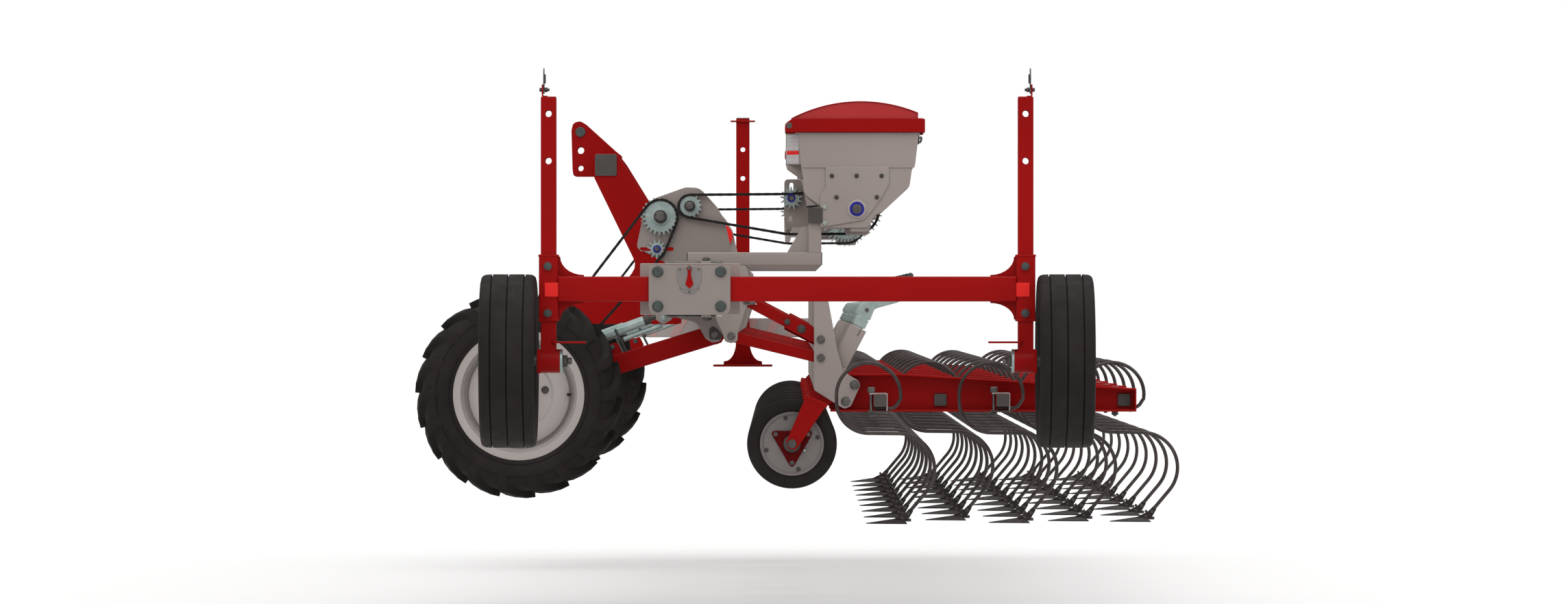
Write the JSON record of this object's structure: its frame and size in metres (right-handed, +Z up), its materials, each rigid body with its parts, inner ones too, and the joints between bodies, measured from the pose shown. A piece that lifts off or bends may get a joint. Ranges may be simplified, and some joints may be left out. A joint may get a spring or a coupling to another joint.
{
  "type": "inter-row cultivator",
  "caption": "Wide tractor-mounted inter-row cultivator with spring-tine gangs on floating arms, ground-drive wheels, granule hoppers and transport wheels.",
  "frame": {"origin": "under the middle of the machine's box, level with the soles of the raised shares", "axes": "+X to the rear of the machine (away from the tractor), +Y across the working width, from the transport-wheel end to the parking-stand end, +Z up"},
  "size_m": [2.5231, 7.238, 1.4681],
  "materials": {
    "red_paint": "semi-gloss red paint",
    "grey_paint": "satin warm grey paint",
    "zinc_plate": "zinc-plated steel",
    "tyre_rubber": "matt black rubber",
    "spring_steel": "dark lacquered spring steel",
    "share_steel": "blackened forged steel",
    "cap_plastic": "dark grey plastic",
    "bearing_seal": "blue plastic"
  },
  "bodies": {
    "root": {"toolbar": "grey_paint", "hitch_mast": "red_paint", "transport_beam": "red_paint", "beam_clamp_plate": "grey_paint", "transmission_plate_near": "grey_paint", "transmission_plate_far": "grey_paint", "hopper_near": "grey_paint", "hopper_far": "grey_paint", "hopper_frame": "grey_paint"},
    "unit_1_lower_arm": {"unit_1_lower_arm": "red_paint"},
    "unit_1_upper_link": {"unit_1_upper_link": "red_paint"},
    "unit_1_gang": {"unit_1_gang": "red_paint"},
    "unit_1_gauge_wheel": {"unit_1_gauge_wheel": "tyre_rubber"},
    "unit_2_lower_arm": {"unit_2_lower_arm": "red_paint"},
    "unit_2_upper_link": {"unit_2_upper_link": "red_paint"},
    "unit_2_gang": {"unit_2_gang": "red_paint"},
    "unit_2_gauge_wheel": {"unit_2_gauge_wheel": "tyre_rubber"},
    "unit_3_lower_arm": {"unit_3_lower_arm": "red_paint"},
    "unit_3_upper_link": {"unit_3_upper_link": "red_paint"},
    "unit_3_gang": {"unit_3_gang": "red_paint"},
    "unit_3_gauge_wheel": {"unit_3_gauge_wheel": "tyre_rubber"},
    "unit_4_lower_arm": {"unit_4_lower_arm": "red_paint"},
    "unit_4_upper_link": {"unit_4_upper_link": "red_paint"},
    "unit_4_gang": {"unit_4_gang": "red_paint"},
    "unit_4_gauge_wheel": {"unit_4_gauge_wheel": "tyre_rubber"},
    "unit_5_lower_arm": {"unit_5_lower_arm": "red_paint"},
    "unit_5_upper_link": {"unit_5_upper_link": "red_paint"},
    "unit_5_gang": {"unit_5_gang": "red_paint"},
    "unit_5_gauge_wheel": {"unit_5_gauge_wheel": "tyre_rubber"},
    "unit_6_lower_arm": {"unit_6_lower_arm": "red_paint"},
    "unit_6_upper_link": {"unit_6_upper_link": "red_paint"},
    "unit_6_gang": {"unit_6_gang": "red_paint"},
    "unit_6_gauge_wheel": {"unit_6_gauge_wheel": "tyre_rubber"},
    "unit_7_lower_arm": {"unit_7_lower_arm": "red_paint"},
    "unit_7_upper_link": {"unit_7_upper_link": "red_paint"},
    "unit_7_gang": {"unit_7_gang": "red_paint"},
    "unit_7_gauge_wheel": {"unit_7_gauge_wheel": "tyre_rubber"},
    "unit_8_lower_arm": {"unit_8_lower_arm": "red_paint"},
    "unit_8_upper_link": {"unit_8_upper_link": "red_paint"},
    "unit_8_gang": {"unit_8_gang": "red_paint"},
    "unit_8_gauge_wheel": {"unit_8_gauge_wheel": "tyre_rubber"},
    "unit_9_lower_arm": {"unit_9_lower_arm": "red_paint"},
    "unit_9_upper_link": {"unit_9_upper_link": "red_paint"},
    "unit_9_gang": {"unit_9_gang": "red_paint"},
    "unit_9_gauge_wheel": {"unit_9_gauge_wheel": "tyre_rubber"},
    "level_pointer": {"level_pointer": "red_paint"},
    "transport_post_front": {"transport_post_front": "red_paint"},
    "transport_post_rear": {"transport_post_rear": "red_paint"},
    "transport_wheel_front": {"transport_wheel_front": "tyre_rubber"},
    "transport_wheel_rear": {"transport_wheel_rear": "tyre_rubber"},
    "drive_arm_near": {"drive_arm_near": "red_paint"},
    "drive_arm_far": {"drive_arm_far": "red_paint"},
    "drive_wheel_near": {"drive_wheel_near": "tyre_rubber"},
    "drive_wheel_far": {"drive_wheel_far": "tyre_rubber"},
    "input_shaft": {"input_shaft": "zinc_plate"},
    "output_shaft": {"output_shaft": "zinc_plate"},
    "metering_shaft": {"metering_shaft": "zinc_plate"},
    "hopper_lid_near": {"hopper_lid_near": "red_paint"},
    "hopper_lid_far": {"hopper_lid_far": "red_paint"},
    "parking_stand": {"parking_stand": "red_paint"}
  },
  "joints": [
    {"name": "unit_1_float", "type": "hinge", "parent": "root", "child": "unit_1_lower_arm", "pos_m": [-0.2, -2.781, 0.608], "axis": [0, -1, 0], "range_deg": [0, 16]},
    {"name": "unit_1_level", "type": "hinge", "parent": "unit_1_lower_arm", "child": "unit_1_gang", "pos_m": [0.092, -2.781, 0.537], "axis": [0, -1, 0], "range_deg": [-16, 0]},
    {"name": "unit_1_link_turn", "type": "hinge", "parent": "unit_1_gang", "child": "unit_1_upper_link", "pos_m": [0.092, -2.781, 0.597], "axis": [0, -1, 0], "range_deg": [0, 17.6]},
    {"name": "unit_1_wheel_spin", "type": "hinge", "parent": "unit_1_gang", "child": "unit_1_gauge_wheel", "pos_m": [-0.002, -2.781, 0.257], "axis": [0, 1, 0], "continuous": true},
    {"name": "unit_2_float", "type": "hinge", "parent": "root", "child": "unit_2_lower_arm", "pos_m": [-0.2, -2.031, 0.608], "axis": [0, -1, 0], "range_deg": [0, 16]},
    {"name": "unit_2_level", "type": "hinge", "parent": "unit_2_lower_arm", "child": "unit_2_gang", "pos_m": [0.092, -2.031, 0.537], "axis": [0, -1, 0], "range_deg": [-16, 0]},
    {"name": "unit_2_link_turn", "type": "hinge", "parent": "unit_2_gang", "child": "unit_2_upper_link", "pos_m": [0.092, -2.031, 0.597], "axis": [0, -1, 0], "range_deg": [0, 17.6]},
    {"name": "unit_2_wheel_spin", "type": "hinge", "parent": "unit_2_gang", "child": "unit_2_gauge_wheel", "pos_m": [-0.002, -2.031, 0.257], "axis": [0, 1, 0], "continuous": true},
    {"name": "unit_3_float", "type": "hinge", "parent": "root", "child": "unit_3_lower_arm", "pos_m": [-0.2, -1.281, 0.608], "axis": [0, -1, 0], "range_deg": [0, 16]},
    {"name": "unit_3_level", "type": "hinge", "parent": "unit_3_lower_arm", "child": "unit_3_gang", "pos_m": [0.092, -1.281, 0.537], "axis": [0, -1, 0], "range_deg": [-16, 0]},
    {"name": "unit_3_link_turn", "type": "hinge", "parent": "unit_3_gang", "child": "unit_3_upper_link", "pos_m": [0.092, -1.281, 0.597], "axis": [0, -1, 0], "range_deg": [0, 17.6]},
    {"name": "unit_3_wheel_spin", "type": "hinge", "parent": "unit_3_gang", "child": "unit_3_gauge_wheel", "pos_m": [-0.002, -1.281, 0.257], "axis": [0, 1, 0], "continuous": true},
    {"name": "unit_4_float", "type": "hinge", "parent": "root", "child": "unit_4_lower_arm", "pos_m": [-0.2, -0.531, 0.608], "axis": [0, -1, 0], "range_deg": [0, 16]},
    {"name": "unit_4_level", "type": "hinge", "parent": "unit_4_lower_arm", "child": "unit_4_gang", "pos_m": [0.092, -0.531, 0.537], "axis": [0, -1, 0], "range_deg": [-16, 0]},
    {"name": "unit_4_link_turn", "type": "hinge", "parent": "unit_4_gang", "child": "unit_4_upper_link", "pos_m": [0.092, -0.531, 0.597], "axis": [0, -1, 0], "range_deg": [0, 17.6]},
    {"name": "unit_4_wheel_spin", "type": "hinge", "parent": "unit_4_gang", "child": "unit_4_gauge_wheel", "pos_m": [-0.002, -0.531, 0.257], "axis": [0, 1, 0], "continuous": true},
    {"name": "unit_5_float", "type": "hinge", "parent": "root", "child": "unit_5_lower_arm", "pos_m": [-0.2, 0.219, 0.608], "axis": [0, -1, 0], "range_deg": [0, 16]},
    {"name": "unit_5_level", "type": "hinge", "parent": "unit_5_lower_arm", "child": "unit_5_gang", "pos_m": [0.092, 0.219, 0.537], "axis": [0, -1, 0], "range_deg": [-16, 0]},
    {"name": "unit_5_link_turn", "type": "hinge", "parent": "unit_5_gang", "child": "unit_5_upper_link", "pos_m": [0.092, 0.219, 0.597], "axis": [0, -1, 0], "range_deg": [0, 17.6]},
    {"name": "unit_5_wheel_spin", "type": "hinge", "parent": "unit_5_gang", "child": "unit_5_gauge_wheel", "pos_m": [-0.002, 0.219, 0.257], "axis": [0, 1, 0], "continuous": true},
    {"name": "unit_6_float", "type": "hinge", "parent": "root", "child": "unit_6_lower_arm", "pos_m": [-0.2, 0.969, 0.608], "axis": [0, -1, 0], "range_deg": [0, 16]},
    {"name": "unit_6_level", "type": "hinge", "parent": "unit_6_lower_arm", "child": "unit_6_gang", "pos_m": [0.092, 0.969, 0.537], "axis": [0, -1, 0], "range_deg": [-16, 0]},
    {"name": "unit_6_link_turn", "type": "hinge", "parent": "unit_6_gang", "child": "unit_6_upper_link", "pos_m": [0.092, 0.969, 0.597], "axis": [0, -1, 0], "range_deg": [0, 17.6]},
    {"name": "unit_6_wheel_spin", "type": "hinge", "parent": "unit_6_gang", "child": "unit_6_gauge_wheel", "pos_m": [-0.002, 0.969, 0.257], "axis": [0, 1, 0], "continuous": true},
    {"name": "unit_7_float", "type": "hinge", "parent": "root", "child": "unit_7_lower_arm", "pos_m": [-0.2, 1.719, 0.608], "axis": [0, -1, 0], "range_deg": [0, 16]},
    {"name": "unit_7_level", "type": "hinge", "parent": "unit_7_lower_arm", "child": "unit_7_gang", "pos_m": [0.092, 1.719, 0.537], "axis": [0, -1, 0], "range_deg": [-16, 0]},
    {"name": "unit_7_link_turn", "type": "hinge", "parent": "unit_7_gang", "child": "unit_7_upper_link", "pos_m": [0.092, 1.719, 0.597], "axis": [0, -1, 0], "range_deg": [0, 17.6]},
    {"name": "unit_7_wheel_spin", "type": "hinge", "parent": "unit_7_gang", "child": "unit_7_gauge_wheel", "pos_m": [-0.002, 1.719, 0.257], "axis": [0, 1, 0], "continuous": true},
    {"name": "unit_8_float", "type": "hinge", "parent": "root", "child": "unit_8_lower_arm", "pos_m": [-0.2, 2.469, 0.608], "axis": [0, -1, 0], "range_deg": [0, 16]},
    {"name": "unit_8_level", "type": "hinge", "parent": "unit_8_lower_arm", "child": "unit_8_gang", "pos_m": [0.092, 2.469, 0.537], "axis": [0, -1, 0], "range_deg": [-16, 0]},
    {"name": "unit_8_link_turn", "type": "hinge", "parent": "unit_8_gang", "child": "unit_8_upper_link", "pos_m": [0.092, 2.469, 0.597], "axis": [0, -1, 0], "range_deg": [0, 17.6]},
    {"name": "unit_8_wheel_spin", "type": "hinge", "parent": "unit_8_gang", "child": "unit_8_gauge_wheel", "pos_m": [-0.002, 2.469, 0.257], "axis": [0, 1, 0], "continuous": true},
    {"name": "unit_9_float", "type": "hinge", "parent": "root", "child": "unit_9_lower_arm", "pos_m": [-0.2, 3.219, 0.608], "axis": [0, -1, 0], "range_deg": [0, 16]},
    {"name": "unit_9_level", "type": "hinge", "parent": "unit_9_lower_arm", "child": "unit_9_gang", "pos_m": [0.092, 3.219, 0.537], "axis": [0, -1, 0], "range_deg": [-16, 0]},
    {"name": "unit_9_link_turn", "type": "hinge", "parent": "unit_9_gang", "child": "unit_9_upper_link", "pos_m": [0.092, 3.219, 0.597], "axis": [0, -1, 0], "range_deg": [0, 17.6]},
    {"name": "unit_9_wheel_spin", "type": "hinge", "parent": "unit_9_gang", "child": "unit_9_gauge_wheel", "pos_m": [-0.002, 3.219, 0.257], "axis": [0, 1, 0], "continuous": true},
    {"name": "level_pointer_swing", "type": "hinge", "parent": "root", "child": "level_pointer", "pos_m": [-0.33, -3.396, 0.8285], "axis": [0, 1, 0], "range_deg": [-20, 20]},
    {"name": "transport_post_front_slide", "type": "slide", "parent": "root", "child": "transport_post_front", "axis": [0, 0, -1], "range_m": [0, 0.48]},
    {"name": "transport_wheel_front_spin", "type": "hinge", "parent": "transport_post_front", "child": "transport_wheel_front", "pos_m": [-0.908, -3.341, 0.531], "axis": [1, 0, 0], "continuous": true},
    {"name": "transport_post_rear_slide", "type": "slide", "parent": "root", "child": "transport_post_rear", "axis": [0, 0, -1], "range_m": [0, 0.48]},
    {"name": "transport_wheel_rear_spin", "type": "hinge", "parent": "transport_post_rear", "child": "transport_wheel_rear", "pos_m": [0.871, -3.341, 0.531], "axis": [1, 0, 0], "continuous": true},
    {"name": "drive_arm_near_swing", "type": "hinge", "parent": "root", "child": "drive_arm_near", "pos_m": [-0.263, -1.881, 0.61], "axis": [0, 1, 0], "range_deg": [0, 12]},
    {"name": "drive_wheel_near_spin", "type": "hinge", "parent": "drive_arm_near", "child": "drive_wheel_near", "pos_m": [-0.918, -2.031, 0.409], "axis": [0, -1, 0], "continuous": true},
    {"name": "hopper_lid_near_hinge", "type": "hinge", "parent": "root", "child": "hopper_lid_near", "pos_m": [-0.011, -2.031, 1.306], "axis": [0, -1, 0], "range_deg": [0, 100]},
    {"name": "drive_arm_far_swing", "type": "hinge", "parent": "root", "child": "drive_arm_far", "pos_m": [-0.263, 2.319, 0.61], "axis": [0, 1, 0], "range_deg": [0, 12]},
    {"name": "drive_wheel_far_spin", "type": "hinge", "parent": "drive_arm_far", "child": "drive_wheel_far", "pos_m": [-0.918, 2.469, 0.409], "axis": [0, -1, 0], "continuous": true},
    {"name": "hopper_lid_far_hinge", "type": "hinge", "parent": "root", "child": "hopper_lid_far", "pos_m": [-0.011, 2.469, 1.306], "axis": [0, -1, 0], "range_deg": [0, 100]},
    {"name": "input_shaft_spin", "type": "hinge", "parent": "root", "child": "input_shaft", "pos_m": [-0.445, 0.219, 1.008], "axis": [0, -1, 0], "continuous": true},
    {"name": "output_shaft_spin", "type": "hinge", "parent": "root", "child": "output_shaft", "pos_m": [-0.346, 0.219, 1.044], "axis": [0, -1, 0], "continuous": true},
    {"name": "metering_shaft_spin", "type": "hinge", "parent": "root", "child": "metering_shaft", "pos_m": [0.214, 0.219, 1.029], "axis": [0, -1, 0], "continuous": true},
    {"name": "parking_stand_slide", "type": "slide", "parent": "root", "child": "parking_stand", "axis": [0, 0, -1], "range_m": [0, 0.5]}
  ],
  "couplings": [
    {"joint": "unit_1_level", "follows": "unit_1_float", "ratio": -1},
    {"joint": "unit_1_link_turn", "follows": "unit_1_float", "ratio": 1.1},
    {"joint": "unit_2_level", "follows": "unit_2_float", "ratio": -1},
    {"joint": "unit_2_link_turn", "follows": "unit_2_float", "ratio": 1.1},
    {"joint": "unit_3_level", "follows": "unit_3_float", "ratio": -1},
    {"joint": "unit_3_link_turn", "follows": "unit_3_float", "ratio": 1.1},
    {"joint": "unit_4_level", "follows": "unit_4_float", "ratio": -1},
    {"joint": "unit_4_link_turn", "follows": "unit_4_float", "ratio": 1.1},
    {"joint": "unit_5_level", "follows": "unit_5_float", "ratio": -1},
    {"joint": "unit_5_link_turn", "follows": "unit_5_float", "ratio": 1.1},
    {"joint": "unit_6_level", "follows": "unit_6_float", "ratio": -1},
    {"joint": "unit_6_link_turn", "follows": "unit_6_float", "ratio": 1.1},
    {"joint": "unit_7_level", "follows": "unit_7_float", "ratio": -1},
    {"joint": "unit_7_link_turn", "follows": "unit_7_float", "ratio": 1.1},
    {"joint": "unit_8_level", "follows": "unit_8_float", "ratio": -1},
    {"joint": "unit_8_link_turn", "follows": "unit_8_float", "ratio": 1.1},
    {"joint": "unit_9_level", "follows": "unit_9_float", "ratio": -1},
    {"joint": "unit_9_link_turn", "follows": "unit_9_float", "ratio": 1.1},
    {"joint": "drive_wheel_far_spin", "follows": "drive_wheel_near_spin", "ratio": 1},
    {"joint": "input_shaft_spin", "follows": "drive_wheel_near_spin", "ratio": 0.6923},
    {"joint": "output_shaft_spin", "follows": "drive_wheel_near_spin", "ratio": -1.125},
    {"joint": "metering_shaft_spin", "follows": "drive_wheel_near_spin", "ratio": -0.5625}
  ]
}
